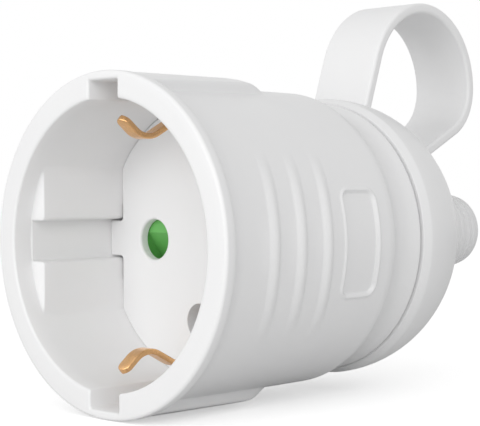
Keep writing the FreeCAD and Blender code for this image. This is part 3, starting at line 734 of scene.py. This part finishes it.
# Earth strip: one blank of bronze spring strip, bent to a long U with a bar behind the carrier. Each arm ends
# in a round-tipped clip that bulges towards the middle. Two eyes in the bar let the screw and the peg by.
strip_half_thickness = 0.4
strip_half_width = 1.1
strip_level = 15.7
strip_edge = 0.2
clip_tip = (3.1, 16.95)
clip_bulge = (6.9, 13.85)
clip_crest = (13.3, 17.2)
clip_foot = (16.8, strip_level)
bar_station = 38.4
bar_half_width = 3.3
bar_reach = 14.2
bar_corner = 1.5
eye_radius = 1.9
eye_front = 37.0
eye_back = 40.0
bends = [3.6, 4.4, 3.0, 1.2]
arm_steps = [14, 4, 4, 12]
bend_steps = [14, 20, 14, 6]
bar_steps = 80

upper_arm = [clip_tip, clip_bulge, clip_crest, clip_foot, (bar_station, strip_level)]
route = upper_arm + [(y, -z) for y, z in reversed(upper_arm)]
line = rounded_run(route, bends + bends[::-1], arm_steps + [bar_steps] + arm_steps[::-1],
                   bend_steps + bend_steps[::-1])


def strip_half(point, from_tip):
    """Half width of the blank: round at the tips, wider in the bar behind."""
    if from_tip < strip_half_width:
        return sqrt(max(0.02, strip_half_width ** 2 - (strip_half_width - from_tip) ** 2))
    level = abs(point.y)
    if point.x < bar_station - 0.01 or level > bar_reach:
        return strip_half_width
    out = max(0.0, level - bar_reach + bar_corner)
    return bar_half_width - bar_corner + sqrt(max(0, bar_corner ** 2 - out ** 2))


def band_rings(line, sections):
    """Rings of a band along a line of (station, height) points, each with its (across, depth) section."""
    rings = []
    for k, (point, section) in enumerate(zip(line, sections)):
        ahead = (line[min(k + 1, len(line) - 1)] - line[max(k - 1, 0)]).normalized()
        rings.append([(x, point.x - ahead.y * depth, point.y + ahead.x * depth) for x, depth in section])
    return rings


run = [0.0]
for before, after in zip(line, line[1:]):
    run.append(run[-1] + (after - before).length)
sections = []
for point, distance in zip(line, run):
    half = strip_half(point, min(distance, run[-1] - distance))
    edge = min(strip_edge, 0.8 * half)
    sections.append(rounded_box(-half, half, -strip_half_thickness, strip_half_thickness, edge, 3))
strip = ring_shell(band_rings(line, sections), name="strip")
eyes = [round_solid([(eye_front, eye_radius), (eye_back, eye_radius)], "eye", z=z, count=40)
        for z in (-joint_z, joint_z)]
bronze = metal("rolled_bronze", colour=(0.90, 0.55, 0.27), dull=(0.76, 0.43, 0.19), roughness=0.26,
               streak=(0.05, 0.9, 0.9), depth=0.004)
earth_strip = edged(worked(strip, eyes), "earth_strip", crease=60)
fitted(earth_strip, bronze, "housing", ["earth_bracket"])


# Screws: zinc plated steel with cheese heads, a driving slot and a rolled thread. The long one joins the
# halves from the mouth, two hold the carrier to the insert, and the rest press on wires or on the clamp.
head_waist = 0.09
head_waist_power = 9.0
crown_share = 0.12
head_sink = 0.3
slot_level = -1.02
slot_span = 3.0
thread_share = 0.55
thread_rows = 8.0
point_share = 0.5
head_segments = 40
head_rows = 8
shank_segments = 28
joining_seat = 29.0
carrier_seat = 27.0
wire_seat = (42.3, 4.0)
earth_wire_seat = (42.1, 3.6)
clamp_seat = (53.5, -1.8)
clamp_screw_x = 7.8

bolt, size, leave = shape_tree(
    "slotted_screw", "Head Radius", "Head Height", "Crown", "Shank Radius", "Length", "Slot Width", "Pitch",
    "Thread Depth", Pointing="Vector")
times, plus, less, over, work = maths_in(bolt)


def at_point(tree):
    """The three coordinates of each point of a shape."""
    return put(tree, "ShaderNodeSeparateXYZ", {0: put(tree, "GeometryNodeInputPosition", {})}).outputs


def distance_of(across, up):
    """Distance from a line, worked out in the tree that is being made."""
    return work("SQRT", plus(times(across, across), times(up, up)))


def moved_to(tree, geometry, x, y, z):
    """Puts each point of a shape in its new place."""
    where = put(tree, "ShaderNodeCombineXYZ", {"X": x, "Y": y, "Z": z})
    return put(tree, "GeometryNodeSetPosition", {"Geometry": geometry, "Position": where})


def rod(segments, rows, end_rings, radius, depth):
    return put(bolt, "GeometryNodeMeshCylinder", {
        "Vertices": segments, "Side Segments": rows, "Fill Segments": end_rings, "Radius": radius,
        "Depth": depth}, fill_type="NGON")


# The head: drawn in a little below its top, crowned, with the driving slot cut across
head_radius, head_height, length, pitch = (size[k] for k in ("Head Radius", "Head Height", "Length", "Pitch"))
head = rod(head_segments, head_rows, head_rows, head_radius, head_height)
x, y, z = at_point(bolt)
off = distance_of(x, y)
height = less(0.5, over(z, head_height))
drawn_in = less(1.0, times(work("POWER", height, head_waist_power), head_waist))
out = over(off, head_radius)
lowered = times(out, out, height, size["Crown"])
level = less(plus(z, lowered), times(head_height, 0.5))
head = moved_to(bolt, head, times(x, drawn_in), times(y, drawn_in), level)
slot_size = put(bolt, "ShaderNodeCombineXYZ", {
    "X": times(head_radius, slot_span), "Y": size["Slot Width"], "Z": head_height})
slot = put(bolt, "GeometryNodeMeshCube", {"Size": slot_size})
slot_place = put(bolt, "ShaderNodeCombineXYZ", {"Z": times(head_height, slot_level)})
slot = put(bolt, "GeometryNodeTransform", {"Geometry": slot, "Translation": slot_place})
slotted = put(bolt, "GeometryNodeMeshBoolean", {"Mesh 1": head, "Mesh 2": slot},
              operation="DIFFERENCE", solver="EXACT")

# The shank: a thread that climbs round it, and a point that is drawn in
sunk = times(head_height, head_sink)
reach = plus(length, sunk)
rows = times(over(reach, pitch), thread_rows)
shank = rod(shank_segments, rows, 1, 1.0, reach)
x, y, z = at_point(bolt)
off = distance_of(x, y)
deep = plus(z, less(times(reach, 0.5), sunk))
turn = over(work("ARCTAN2", y, x), 2 * pi)
phase = work("FRACT", less(over(deep, pitch), turn))
flank = work("ABSOLUTE", less(times(phase, 2.0), 1.0))
taper = put(bolt, "ShaderNodeMapRange", {
    "Value": less(length, deep), "From Min": 0.0,
    "From Max": times(size["Shank Radius"], point_share), "To Min": point_share, "To Max": 1.0})
crest = less(size["Shank Radius"], times(flank, size["Thread Depth"]))
radius = over(times(crest, taper), work("MAXIMUM", off, 0.5))
shank = moved_to(bolt, shank, times(x, radius), times(y, radius), deep)
whole = put(bolt, "GeometryNodeMeshBoolean", {"Mesh 2": slotted}, operation="UNION", solver="EXACT")
feed(bolt, whole, {"Mesh 2": shank})
turned_way = put(bolt, "FunctionNodeEulerToRotation", {0: size["Pointing"]})
seats = put(bolt, "GeometryNodeInstanceOnPoints", {
    "Points": size["Geometry"], "Instance": whole, "Rotation": turned_way})
ended(bolt, seats, size["Material"], leave)

zinc = metal("zinc_plate", colour=(0.66, 0.67, 0.68), dull=(0.54, 0.55, 0.57), roughness=0.30,
             streak=(0.5, 0.5, 0.5), depth=0.003)
to_rear, to_mouth, downwards = (-pi / 2, 0, 0), (pi / 2, 0, 0), (pi, 0, 0)


def screws(name, seats, pointing, nodes, head, shank, pitch):
    """Like screws on their seats. Head is radius, height and slot width, shank is radius and length."""
    points = bpy.data.meshes.new("seats")
    points.from_pydata([place(*seat) for seat in seats], [], [])
    mesh = grown(points, bolt, {
        "Head Radius": head[0] * mm, "Head Height": head[1] * mm, "Crown": crown_share * head[1] * mm,
        "Slot Width": head[2] * mm, "Shank Radius": shank[0] * mm, "Length": shank[1] * mm,
        "Pitch": pitch * mm, "Thread Depth": thread_share * pitch * mm, "Pointing": pointing,
        "Material": zinc})
    fitted(edged(mesh, name, crease=40), zinc, "housing", nodes)


screws("joining_screw_long", [(0, joining_seat, -joint_z)], to_rear, ["joining_screw"],
       head=(2.35, 2.2, 0.8), shank=(1.7, 16.0), pitch=0.7)
screws("carrier_screws_short", [(side * carrier_screw_x, carrier_seat, carrier_screw_z) for side in (-1, 1)],
       to_mouth, ["carrier_screws"], head=(2.1, 1.5, 0.6), shank=(1.05, 6.0), pitch=0.6)
screws("wire_screws", [(x, *wire_seat) for x in (-contact_x, contact_x)], downwards, ["terminal_screws"],
       head=(2.3, 1.6, 0.6), shank=(1.5, 4.6), pitch=0.5)
screws("earth_wire_screw", [(0, *earth_wire_seat)], downwards, ["earth_terminal_screw"],
       head=(2.3, 1.6, 0.6), shank=(1.5, 4.2), pitch=0.5)
screws("clamp_screws", [(x, *clamp_seat) for x in (-clamp_screw_x, clamp_screw_x)], downwards,
       ["cord_clamp_screws"], head=(2.0, 1.7, 0.6), shank=(1.3, 7.0), pitch=0.5)


# Rear cap: the same white moulding, with a bevelled collar, a domed cone and the cord's neck. The hanging
# loop is moulded in one with it. The lower post inside takes the joining screw, the upper one ends in a peg.
cap_start = 42.5
collar_radius = 20.9
collar_bevel = 0.6
collar_bevel_end = 43.7
collar_end = 44.0
cone_start = 49.9
cone_angle = 37.6
dome_end = 55.0
dome_bulge = 1.0
cap_end = 66.0
cap_end_edge = 0.4
cap_wall = 2.0
cap_bore = 17.55
spigot_seat = 18.6
hollow_front = 40.0
neck_radius = 6.5
neck_front = 64.0
neck_edge = 0.25
neck_cut_front = 60.0
neck_cut_back = 67.0
post_radius = 3.0
post_start = 38.8
post_end = 58.2
post_edge = 0.2
bush_front = 38.0
bush_radius = 2.3
bush_end = 47.8
bore_radius = 1.9
bore_end = 49.8
peg_radius = 1.7
peg_start = 32.8
peg_edge = 0.4
peg_root = 2.0

loop_middle = (62.5, 23.5)
loop_radius = 13.1
loop_band = 1.6
loop_half_width = 5.5
loop_edge = 0.5
loop_corner = 8.5
leg_lean = 19.0
leg_root = 16.0
foot_slope = 26.0
foot_length = 11.0


def cone_radius(y):
    return collar_radius - (y - cone_start) * tan(radians(cone_angle))


def arc_points(start, end, bulge, count):
    """Points of a circle's arc between two (station, radius) points, bulge off its chord at the middle."""
    (y0, r0), (y1, r1) = start, end
    chord = hypot(y1 - y0, r1 - r0)
    radius = (chord * chord / 4 + bulge * bulge) / (2 * bulge)
    half_turn = asin(chord / 2 / radius)
    points = []
    for angle in steps(-half_turn, half_turn, count):
        along = chord / 2 + radius * sin(angle)
        rise = bulge - radius * (1 - cos(angle))
        points.append((y0 + (along * (y1 - y0) - rise * (r1 - r0)) / chord,
                       r0 + (along * (r1 - r0) + rise * (y1 - y0)) / chord))
    return points


# The collar's front edge and bevel: how far behind the first figure, and how far in from the collar's skin
outline = [(cap_start + past, collar_radius - collar_bevel + out)
           for past, out in [(0, -0.12), (0.04, -0.04), (0.14, 0.07)]]
outline += [(collar_bevel_end + past, collar_radius - inward)
            for past, inward in [(-0.3, 0.17), (-0.1, 0.07), (0.15, 0)]]
outline += arc_points((collar_end, collar_radius), (dome_end, cone_radius(dome_end)), dome_bulge, 26)
outline += [(y, cone_radius(y)) for y in steps(dome_end, cap_end - cap_end_edge, 10)[1:]]
edge_start = cap_end - cap_end_edge
end_radius = cone_radius(cap_end) - cap_end_edge
outline += [(edge_start + cap_end_edge * sin(a) * 0.95,
             mix(cone_radius(edge_start), end_radius, 1 - cos(a))) for a in steps(0, pi / 2, 5)[1:]]
outline.append((cap_end, end_radius - 0.3))
cap = round_solid(outline, "cap", count=160)

lean, slope = radians(leg_lean), radians(foot_slope)
centre = Vector(loop_middle)
mid_radius = loop_radius - loop_band / 2
corner_centre = centre + Vector((loop_radius - loop_corner, 0))
corner_radius = loop_corner - loop_band / 2
first = centre + Vector((-cos(lean), sin(lean))) * mid_radius
leg_foot = first - Vector((sin(lean), cos(lean))) * ((first.y - leg_root) / cos(lean))
loop_line = [leg_foot.lerp(first, share) for share in steps(0, 1, 10)]
loop_line += [centre + Vector((cos(a), sin(a))) * mid_radius for a in steps(pi - lean, 0, 54)[1:]]
loop_line += [corner_centre + Vector((cos(a), sin(a))) * corner_radius
              for a in steps(0, slope - pi / 2, 20)[1:]]
foot_way = Vector((-cos(slope), -sin(slope)))
loop_line += [loop_line[-1] + foot_way * foot_length * share for share in steps(0, 1, 10)[1:]]

section = rounded_box(-loop_half_width, loop_half_width, -loop_band / 2, loop_band / 2, loop_edge, 6)
loop = ring_shell(band_rings(loop_line, [section] * len(loop_line)), name="loop")

cone_wall = cap_wall / cos(radians(cone_angle))
bore_meets = cone_start + (collar_radius - cone_wall - cap_bore) / tan(radians(cone_angle))
hollow = round_solid([(hollow_front, spigot_seat), (spigot_end, spigot_seat), (spigot_end, cap_bore),
                      (bore_meets, cap_bore), (neck_front, cone_radius(neck_front) - cone_wall)],
                     "hollow", count=160)
neck = round_solid([(neck_cut_front, neck_radius), (cap_end - 0.3, neck_radius),
                    (cap_end - 0.08, neck_radius + 0.08), (cap_end, neck_radius + neck_edge),
                    (neck_cut_back, neck_radius + neck_edge)], "neck", count=96)
posts = [round_solid([(post_start, post_radius - post_edge), (post_start + post_edge, post_radius),
                      (post_end, post_radius)], "post", z=z, count=48) for z in (-joint_z, joint_z)]
peg = round_solid([(peg_start, peg_radius - peg_edge), (peg_start + peg_edge, peg_radius),
                   (post_start + peg_root, peg_radius)], "peg", z=joint_z, count=40)
bush_bore = round_solid([(bush_front, bush_radius), (bush_end, bush_radius), (bush_end, bore_radius),
                         (bore_end, bore_radius)], "bore", z=-joint_z, count=40)
cap = worked(worked(cap, [loop], "UNION"), [hollow, neck])
cap = worked(worked(cap, posts + [peg], "UNION"), [bush_bore])
rear_cap = edged(cap, "rear_cap_moulding", crease=30)
fitted(rear_cap, white_plastic, "housing", ["rear_cap"])


# Threaded bush: a short sleeve turned from brass rod and pressed into the cap's lower post. The long joining
# screw ends in its thread and so pulls the two halves of the housing together.
finished(brass, "cap_insert")


# Cord clamp: a grey moulded saddle that presses the cord onto the carrier's tongue. Two screws pull it down
# into square nuts of zinc plated steel that lie under the tongue.
finished(grey_plastic, "cord_clamp")
finished(zinc, "cord_clamp_nuts")


# Bend grommet: a tapered sleeve of soft white rubber that keeps the cord from bending sharply. It is held in
# the cap's neck by a flange inside, and the ring grooves in its outside let it flex.
cord_hole = 4.1
flange_start = 61.8
flange_radius = 7.3
flange_end = 64.0
flange_edge = 0.2
waist_radius = 6.4
sleeve_tip = 77.0
sleeve_root_radius = 8.0
sleeve_tip_radius = 5.6
sleeve_edge = 0.8
hole_edge = 0.25
groove_first = 67.6
groove_pitch = 2.1
groove_count = 4
groove_width = 1.3
groove_depth = 0.7
groove_inside = 4.8
groove_roundness = 0.7

grooved, size, leave = shape_tree("ring_grooves", "First", "Pitch", "Count", "Width", "Depth", "Inside",
                                  "Level")
times, plus, less, over, work = maths_in(grooved)
x, y, z = at_point(grooved)
height = less(z, size["Level"])
off = distance_of(x, height)
past_first = over(less(y, size["First"]), size["Pitch"])
number = work("FLOOR", past_first)
pitch_to_width = over(size["Pitch"], size["Width"])
within = times(work("FRACT", past_first), pitch_to_width)
bowl = times(within, less(1.0, within), 4.0)
dip = work("POWER", work("MAXIMUM", bowl, 0.0), groove_roundness)
real = times(work("GREATER_THAN", past_first, 0.0), work("LESS_THAN", number, size["Count"]))
outside = times(real, work("GREATER_THAN", off, size["Inside"]))
drop = times(dip, outside, size["Depth"])
share = less(1.0, over(drop, off))
level = plus(size["Level"], times(height, share))
moved = moved_to(grooved, size["Geometry"], times(x, share), y, level)
ended(grooved, moved, size["Material"], leave)

profile = [(flange_start, flange_radius - flange_edge), (flange_start + flange_edge, flange_radius),
           (flange_end - 0.1, flange_radius), (flange_end, flange_radius - 0.1), (flange_end, waist_radius),
           (cap_end, waist_radius), (cap_end, sleeve_root_radius - 0.15),
           (cap_end + 0.15, sleeve_root_radius)]
taper = (sleeve_root_radius - sleeve_tip_radius) / (sleeve_tip - cap_end)
tip_start = sleeve_tip - sleeve_edge
profile += [(y, sleeve_root_radius - (y - cap_end) * taper) for y in steps(cap_end + 0.3, tip_start, 120)]
for angle in steps(0, pi / 2, 6)[1:]:
    drawn_in = sleeve_edge * (1 - cos(angle))
    widened = sleeve_edge * taper * (1 - sin(angle))
    profile.append((tip_start + sleeve_edge * sin(angle), sleeve_tip_radius - drawn_in + widened))
profile += [(sleeve_tip, cord_hole + hole_edge), (sleeve_tip - 0.08, cord_hole + 0.08),
            (sleeve_tip - hole_edge, cord_hole)]
profile += [(y, cord_hole) for y in steps(sleeve_tip - 2 * hole_edge, flange_start + hole_edge, 8)]
profile += [(flange_start + 0.08, cord_hole + 0.08), (flange_start, cord_hole + hole_edge)]
sleeve = ring_shell([circle_ring(y, radius, count=120) for y, radius in profile], closed=True, name="sleeve")

rubber = moulded("soft_white_rubber", (0.84, 0.84, 0.84), (0.815, 0.815, 0.82), roughness=0.62,
                 grain_size=0.18, grain_depth=0.010, gloss=0.3)
sleeve = grown(sleeve, grooved, {
    "First": mouth + groove_first * mm, "Pitch": groove_pitch * mm, "Count": float(groove_count),
    "Width": groove_width * mm, "Depth": groove_depth * mm, "Inside": groove_inside * mm,
    "Level": axis_level, "Material": rubber})
bend_grommet = edged(sleeve, "bend_grommet_sleeve", crease=40)
fitted(bend_grommet, rubber, "housing", ["bend_grommet"])


# Studio: a plain pale floor under the socket, even light all round, a broad soft lamp before the mouth and a
# weaker one beside the camera. Floor and backdrop are white to the camera, and the floor keeps the shadow.
camera_place = (0.14528, -0.16008, 0.03177)
camera_turn = 44.61
camera_pitch = -1.345
camera_roll = -0.177
focal_length = 107.57
near_clip = 0.01
even_light = 0.6
floor_reach = 1.5
floor_tone = (0.8, 0.8, 0.8, 1)
floor_lift = (0.5, 0.5, 0.5, 1)
full_white = (1, 1, 1, 1)

camera = shown("camera", bpy.data.cameras.new("camera"))
camera.location = camera_place
turn, pitch = radians(camera_turn), radians(camera_pitch)
ahead = Vector((-sin(turn) * cos(pitch), cos(turn) * cos(pitch), sin(pitch)))
level = ahead.to_track_quat("-Z", "Y")
camera.rotation_euler = (level @ Quaternion((0, 0, 1), radians(camera_roll))).to_euler()
camera.data.lens = focal_length
camera.data.clip_start = near_clip
bpy.context.scene.camera = camera

world = bpy.data.worlds.new("studio")
bpy.context.scene.world = world
world.use_nodes = True
sky = world.node_tree
path = put(sky, "ShaderNodeLightPath", {}).outputs
work = maths_in(sky)[-1]
seen = work("MAXIMUM", path["Is Camera Ray"], path["Is Transmission Ray"], path["Is Glossy Ray"])
lit = feed(sky, sky.nodes["Background"], {"Color": full_white, "Strength": even_light})
backdrop = put(sky, "ShaderNodeBackground", {"Color": full_white, "Strength": 1.0})
choice = put(sky, "ShaderNodeMixShader", {"Fac": seen, 1: lit, 2: backdrop})
feed(sky, sky.nodes["World Output"], {"Surface": choice})

floor_mesh = bpy.data.meshes.new("floor")
corners = [(-floor_reach, -floor_reach, 0), (floor_reach, -floor_reach, 0), (floor_reach, floor_reach, 0),
           (-floor_reach, floor_reach, 0)]
floor_mesh.from_pydata(corners, [], [(0, 1, 2, 3)])
floor = shown("floor", floor_mesh)
paper = bpy.data.materials.new("white_paper")
paper.use_nodes = True
tree = paper.node_tree
surface = feed(tree, tree.nodes["Principled BSDF"], {
    "Base Color": floor_tone, "Roughness": 0.9, "Specular IOR Level": 0.1})
path = put(tree, "ShaderNodeLightPath", {}).outputs
lift = put(tree, "ShaderNodeEmission", {"Strength": path["Is Camera Ray"], "Color": floor_lift})
both = put(tree, "ShaderNodeAddShader", {0: surface, 1: lift})
feed(tree, tree.nodes["Material Output"], {"Surface": both})
floor_mesh.materials.append(paper)


def soft_lamp(name, place_from, width, power):
    lamp = shown(name, bpy.data.lights.new(name, "AREA"))
    lamp.location = place_from
    lamp.rotation_euler = (Vector((0, 0, axis_level)) - lamp.location).to_track_quat("-Z", "Y").to_euler()
    lamp.data.size = width
    lamp.data.energy = power


soft_lamp("mouth_lamp", (0.0, -0.70, 0.12), width=0.50, power=2.0)
soft_lamp("side_lamp", (0.45, -0.45, 0.25), width=0.40, power=1.05)

bpy.context.scene.view_settings.view_transform = "Standard"
